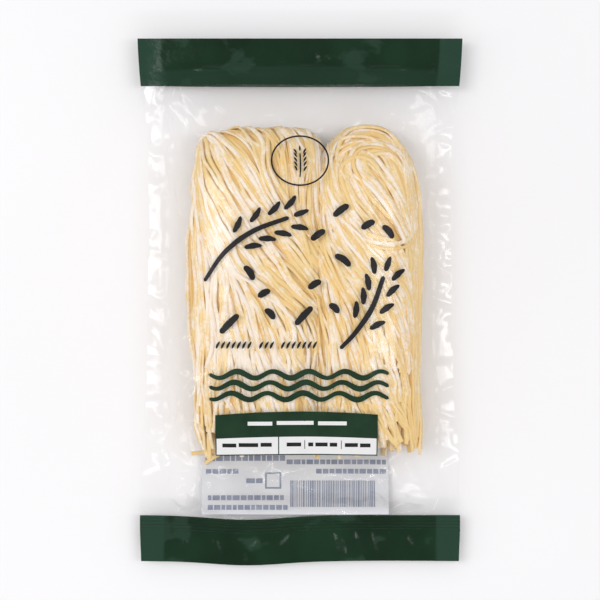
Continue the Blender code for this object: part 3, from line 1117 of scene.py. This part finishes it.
def back_text(ink):
    """Bars of small print and a plain barcode on the back's white panel."""
    random = np.random.default_rng(3)
    rows = [(-35.2, -5.6, -58.6, 2), (-35.0, -23.0, -63.4, 1), (-20.0, -14.0, -66.9, 1),
            (-34.2, -6.0, -73.0, 1), (-34.2, -4.6, -76.4, 1), (-5.0, 32.0, -60.0, 1),
            (6.0, 32.0, -63.4, 1)]
    for x0, x1, y, bold in rows:
        count = int((x1 - x0) / 2.2)
        ink.bars(x0, x1, y, 1.4 + 0.3 * bold, random.uniform(1.2, 2.6, count), 0.45)
    for x in np.arange(-3.6, 27.6, 0.66):
        ink.box(x, -76.2, x + random.uniform(0.18, 0.5), -66.8)
    for x0, y0, x1, y1 in [(-13.0, -64.4, -7.0, -63.8), (-13.0, -69.8, -7.0, -69.2),
                           (-13.0, -69.2, -12.4, -64.4), (-7.6, -69.2, -7.0, -64.4)]:
        ink.box(x0, y0, x1, y1)
    for y in np.arange(-52.0, 36.0, 3.6):
        ink.bars(-33.0, 30.0, y, 1.2, random.uniform(2, 6, 14), 0.6)


def prints(form, materials):
    """All the ink on the front film and the back film."""
    front = partial(front_height, form)
    back = partial(back_height, form)
    black = Print(front, INK_HEIGHT)
    green = Print(front, INK_HEIGHT)
    white = Print(front, INK_HEIGHT)
    ring_mark(black)
    brush_marks(black)
    noodle_waves(green)
    info_box(green, white, black)
    black.shape.make("print_black", materials["black"], "dark_ink", sharp=50)
    green.shape.make("print_green", materials["green"], "band_print", sharp=50)
    white.shape.make("print_white", materials["white"], "white_ink", sharp=50)
    # The back's white panel, its white print painted darker as shade.
    panel = Print(back, PANEL_RISE, PANEL_THICKNESS)
    panel.box(-36.4, -79.0, 32.9, 40.0)
    panel.shape.make("panel_white_painted_shade", materials["panel"], "white_ink", sharp=50)
    text = Print(back, TEXT_RISE, TEXT_THICKNESS)
    back_text(text)
    text.shape.make("panel_text", materials["grey"], "grey_ink", sharp=50)


# ---------------------------------------------------------------- materials


class Nodes:
    """A material's nodes, added and linked in a few words."""

    def __init__(self, name):
        self.material = bpy.data.materials.new(name)
        self.material.use_nodes = True
        self.tree = self.material.node_tree
        self.shader = self.tree.nodes["Principled BSDF"]
        self.output = self.tree.nodes["Material Output"]

    def add(self, kind, **settings):
        node = self.tree.nodes.new("ShaderNode" + kind)
        for name, value in settings.items():
            setattr(node, name, value)
        return node

    def link(self, source, target):
        self.tree.links.new(source, target)

    def attribute(self, name, output="Fac"):
        node = self.add("Attribute", attribute_name=name)
        return node.outputs[output]

    def place(self):
        return self.add("TexCoord").outputs["Object"]

    def stretched(self, source, scale):
        node = self.add("Mapping")
        self.link(source, node.inputs["Vector"])
        node.inputs["Scale"].default_value = scale
        return node.outputs["Vector"]

    def noise(self, source, scale, detail=2.0, roughness=0.5):
        node = self.add("TexNoise")
        self.link(source, node.inputs["Vector"])
        node.inputs["Scale"].default_value = scale
        node.inputs["Detail"].default_value = detail
        node.inputs["Roughness"].default_value = roughness
        return node.outputs["Fac"]

    def math(self, operation, first, second=0.5, clamp=False):
        node = self.add("Math", operation=operation, use_clamp=clamp)
        for socket, value in zip(node.inputs, (first, second)):
            if isinstance(value, float):
                socket.default_value = value
            else:
                self.link(value, socket)
        return node.outputs["Value"]

    def span(self, source, low, high, to_low=0.0, to_high=1.0):
        node = self.add("MapRange")
        self.link(source, node.inputs["Value"])
        for name, value in zip(("From Min", "From Max", "To Min", "To Max"),
                               (low, high, to_low, to_high)):
            node.inputs[name].default_value = value
        return node.outputs["Result"]

    def blend(self, share, first, second):
        """A colour between two, each a colour or a socket."""
        node = self.add("Mix", data_type="RGBA")
        self.link(share, node.inputs["Factor"])
        for socket, value in zip((node.inputs[6], node.inputs[7]), (first, second)):
            if isinstance(value, tuple):
                socket.default_value = (*value, 1.0)
            else:
                self.link(value, socket)
        return node.outputs[2]

    def bump(self, source, strength, distance):
        node = self.add("Bump")
        self.link(source, node.inputs["Height"])
        node.inputs["Strength"].default_value = strength
        node.inputs["Distance"].default_value = distance
        self.link(node.outputs["Normal"], self.shader.inputs["Normal"])

    def set(self, **values):
        for name, value in values.items():
            self.shader.inputs[name.replace("_", " ")].default_value = value


def film_material():
    """Clear film: see-through head on, and glossy where it turns away."""
    n = Nodes("clear_film")
    place = n.place()
    n.set(Base_Color=(0.97, 0.97, 0.97, 1.0), Metallic=0.9, Roughness=0.11)
    turned = n.add("LayerWeight")
    turned.inputs["Blend"].default_value = 0.5
    gloss = n.span(n.math("POWER", turned.outputs["Facing"], 3.4), 0.0, 1.0, 0.024, 0.75)
    haze = n.span(n.noise(place, 60.0, 3.0), 0.35, 0.7, 0.0, 0.012)
    factor = n.math("ADD", gloss, haze, clamp=True)
    facets = n.add("TexVoronoi", feature="SMOOTH_F1")
    facets.inputs["Scale"].default_value = 90.0
    facets.inputs["Smoothness"].default_value = 0.35
    bent = n.math("MULTIPLY", n.noise(place, 35.0, 2.0), 0.05)
    shifted = n.add("VectorMath", operation="ADD")
    n.link(n.stretched(place, (1.0, 0.55, 1.0)), shifted.inputs[0])
    n.link(bent, shifted.inputs[1])
    n.link(shifted.outputs["Vector"], facets.inputs["Vector"])
    grain = n.math("MULTIPLY", n.noise(place, 200.0, 1.0), 0.08)
    folds = n.math("ADD", facets.outputs["Distance"], grain)
    n.bump(n.math("MULTIPLY", folds, n.attribute("crumple")), 0.9, 0.0016)
    clear = n.add("BsdfTransparent")
    mix = n.add("MixShader")
    n.link(factor, mix.inputs["Fac"])
    n.link(clear.outputs["BSDF"], mix.inputs[1])
    n.link(n.shader.outputs["BSDF"], mix.inputs[2])
    n.link(mix.outputs["Shader"], n.output.inputs["Surface"])
    return n.material


def band_material():
    """Glossy dark green print, paler where the side seals are pressed, with lighter patches of painted
    glare.
    """
    n = Nodes("band_print")
    place = n.place()
    cloud = n.span(n.noise(place, 45.0, 2.0), 0.35, 0.65)
    body = n.blend(cloud, (0.0008, 0.016, 0.004), (0.004, 0.028, 0.010))
    # Lighter green patches with sharp edges: painted glare, a reflection painted into the print's colour.
    painted_glare = n.span(n.noise(n.stretched(place, (0.7, 1.0, 1.0)), 95.0, 3.0), 0.56, 0.62, 0.0, 0.75)
    body = n.blend(painted_glare, body, (0.016, 0.046, 0.026))
    colour = n.blend(n.attribute("seal"), body, (0.014, 0.046, 0.027))
    n.link(colour, n.shader.inputs["Base Color"])
    grain = n.noise(place, 700.0, 2.0)
    n.link(n.span(grain, 0.3, 0.7, 0.14, 0.2), n.shader.inputs["Roughness"])
    n.set(Specular_IOR_Level=0.22)
    n.bump(n.noise(place, 380.0, 2.0), 0.18, 0.0005)
    return n.material


def pasta_material():
    """Pale yellow dough with streaks of white flour along each strand, deeper orange where strands lie low,
    as painted shade in the gaps.
    """
    n = Nodes("pasta")
    lay = n.attribute("lay", "Vector")
    place = n.place()
    # Each strand's tone differs at random; strands low in the hank and the core are set towards the deeper
    # orange end as painted shade for the gaps.
    tone = n.span(n.attribute("tone"), -1.0, 1.0)
    dough = n.blend(tone, (0.86, 0.56, 0.20), (0.88, 0.68, 0.34))
    cloud = n.span(n.noise(place, 130.0, 2.0), 0.35, 0.65)
    dough = n.blend(cloud, dough, (0.86, 0.63, 0.28))
    patch = n.noise(n.stretched(place, (1.0, 0.6, 1.0)), 230.0, 2.0)
    streak = n.noise(lay, 0.9, 3.0, 0.6)
    fleck = n.noise(place, 760.0, 3.0, 0.7)
    streaks = n.math("ADD", n.math("MULTIPLY", streak, 0.28), n.math("MULTIPLY", fleck, 0.38))
    mixed = n.math("ADD", n.math("MULTIPLY", patch, 0.34), streaks)
    lifted = n.math("ADD", mixed, n.attribute("flour"))
    share = n.span(lifted, 0.78, 0.93, 0.0, 0.95)
    colour = n.blend(share, dough, (0.93, 0.83, 0.73))
    n.link(colour, n.shader.inputs["Base Color"])
    n.link(n.span(share, 0.0, 1.0, 0.42, 0.85), n.shader.inputs["Roughness"])
    n.bump(streaks, 0.35, 0.0006)
    return n.material


def ink_material(name, dark, light, scale, low, high):
    """Ink that varies a little in colour and gloss."""
    n = Nodes(name)
    place = n.place()
    cloud = n.span(n.noise(place, scale, 3.0), 0.3, 0.7)
    n.link(n.blend(cloud, dark, light), n.shader.inputs["Base Color"])
    n.link(n.span(n.noise(place, scale * 4, 2.0), 0.3, 0.7, low, high),
           n.shader.inputs["Roughness"])
    n.set(Specular_IOR_Level=0.25)
    return n.material


def floor_material():
    """A matt pale surface, very slightly uneven."""
    n = Nodes("floor")
    place = n.place()
    cloud = n.span(n.noise(place, 7.0, 2.0), 0.3, 0.7)
    colour = n.blend(cloud, (0.880, 0.870, 0.886), (0.900, 0.890, 0.905))
    n.link(colour, n.shader.inputs["Base Color"])
    n.set(Roughness=0.9)
    return n.material


# Dark and light colour, scale of the clouding, and lowest and highest roughness.
INKS = {
    "black": ((0.004, 0.003, 0.004), (0.010, 0.008, 0.010), 150, 0.3, 0.5),
    "green": ((0.002, 0.022, 0.006), (0.006, 0.034, 0.012), 120, 0.3, 0.5),
    "white": ((0.74, 0.73, 0.74), (0.80, 0.79, 0.80), 120, 0.35, 0.55),
    # The panel's white is painted darker and bluer than the front's white print: painted shade for a panel
    # that lies in shadow inside the pouch.
    "panel": ((0.64, 0.65, 0.69), (0.73, 0.74, 0.77), 60, 0.35, 0.55),
    "grey": ((0.20, 0.23, 0.32), (0.30, 0.33, 0.42), 200, 0.4, 0.6),
}


def all_materials():
    made = {
        "film": film_material(),
        "band": band_material(),
        "pasta": pasta_material(),
    }
    for name, values in INKS.items():
        made[name] = ink_material(name + "_ink", *values)
    return made


# ---------------------------------------------------------------- floor, light, camera


def floor():
    """A wide plain floor just under the pack."""
    mesh = bpy.data.meshes.new("floor")
    size = 4.0
    corners = [(-size, -size, 0), (size, -size, 0), (size, size, 0), (-size, size, 0)]
    mesh.from_pydata(corners, [], [(0, 1, 2, 3)])
    mesh.materials.append(floor_material())
    plane = bpy.data.objects.new("floor", mesh)
    bpy.context.scene.collection.objects.link(plane)


def aim(thing, target):
    """Turns a lamp towards a point."""
    direction = Vector(target) - thing.location
    thing.rotation_euler = direction.to_track_quat("-Z", "Y").to_euler()


def lamp(name, place, size_x, size_y, power, target=(0.0, 0.0, 0.0)):
    light = bpy.data.lights.new(name, "AREA")
    light.shape = "RECTANGLE"
    light.size = size_x
    light.size_y = size_y
    light.energy = power
    thing = bpy.data.objects.new(name, light)
    bpy.context.scene.collection.objects.link(thing)
    thing.location = place
    aim(thing, target)
    thing.visible_camera = False


def world():
    """Soft even light, seen as plain white behind the pack."""
    made = bpy.data.worlds.new("studio")
    bpy.context.scene.world = made
    made.use_nodes = True
    tree = made.node_tree
    soft = tree.nodes["Background"]
    soft.inputs["Color"].default_value = (1.0, 1.0, 1.0, 1.0)
    soft.inputs["Strength"].default_value = 0.64
    white = tree.nodes.new("ShaderNodeBackground")
    white.inputs["Color"].default_value = (0.93, 0.92, 0.935, 1.0)
    path = tree.nodes.new("ShaderNodeLightPath")
    mix = tree.nodes.new("ShaderNodeMixShader")
    tree.links.new(path.outputs["Is Camera Ray"], mix.inputs["Fac"])
    tree.links.new(soft.outputs["Background"], mix.inputs[1])
    tree.links.new(white.outputs["Background"], mix.inputs[2])
    tree.links.new(mix.outputs["Shader"], tree.nodes["World Output"].inputs["Surface"])


def lights():
    """Two broad lamps at the sides, and strips that draw the film's creases."""
    lamp("left_broad", (-0.56, 0.16, 1.0), 0.3, 0.7, 3.4)
    lamp("right_broad", (0.56, 0.0, 1.0), 0.2, 0.7, 2.25)
    lamp("left_strip", (-0.75, -0.1, 0.5), 0.04, 0.7, 0.7)
    lamp("front_strip", (0.1, -0.75, 0.6), 0.7, 0.04, 0.8)


def camera():
    """Straight above the pack."""
    data = bpy.data.cameras.new("camera")
    data.lens = LENS
    data.sensor_width = SENSOR
    thing = bpy.data.objects.new("camera", data)
    bpy.context.scene.collection.objects.link(thing)
    distance = VIEW_WIDTH * LENS / SENSOR
    thing.location = (0.0, VIEW_CENTRE_Y, VIEW_HEIGHT + distance)
    bpy.context.scene.camera = thing


form = PouchForm()
materials = all_materials()
film_pieces(form, materials)
hanks(form, materials["pasta"])
loose_strands(form, materials["pasta"])
prints(form, materials)
floor()
world()
lights()
camera()
bpy.context.scene.view_settings.view_transform = "Standard"
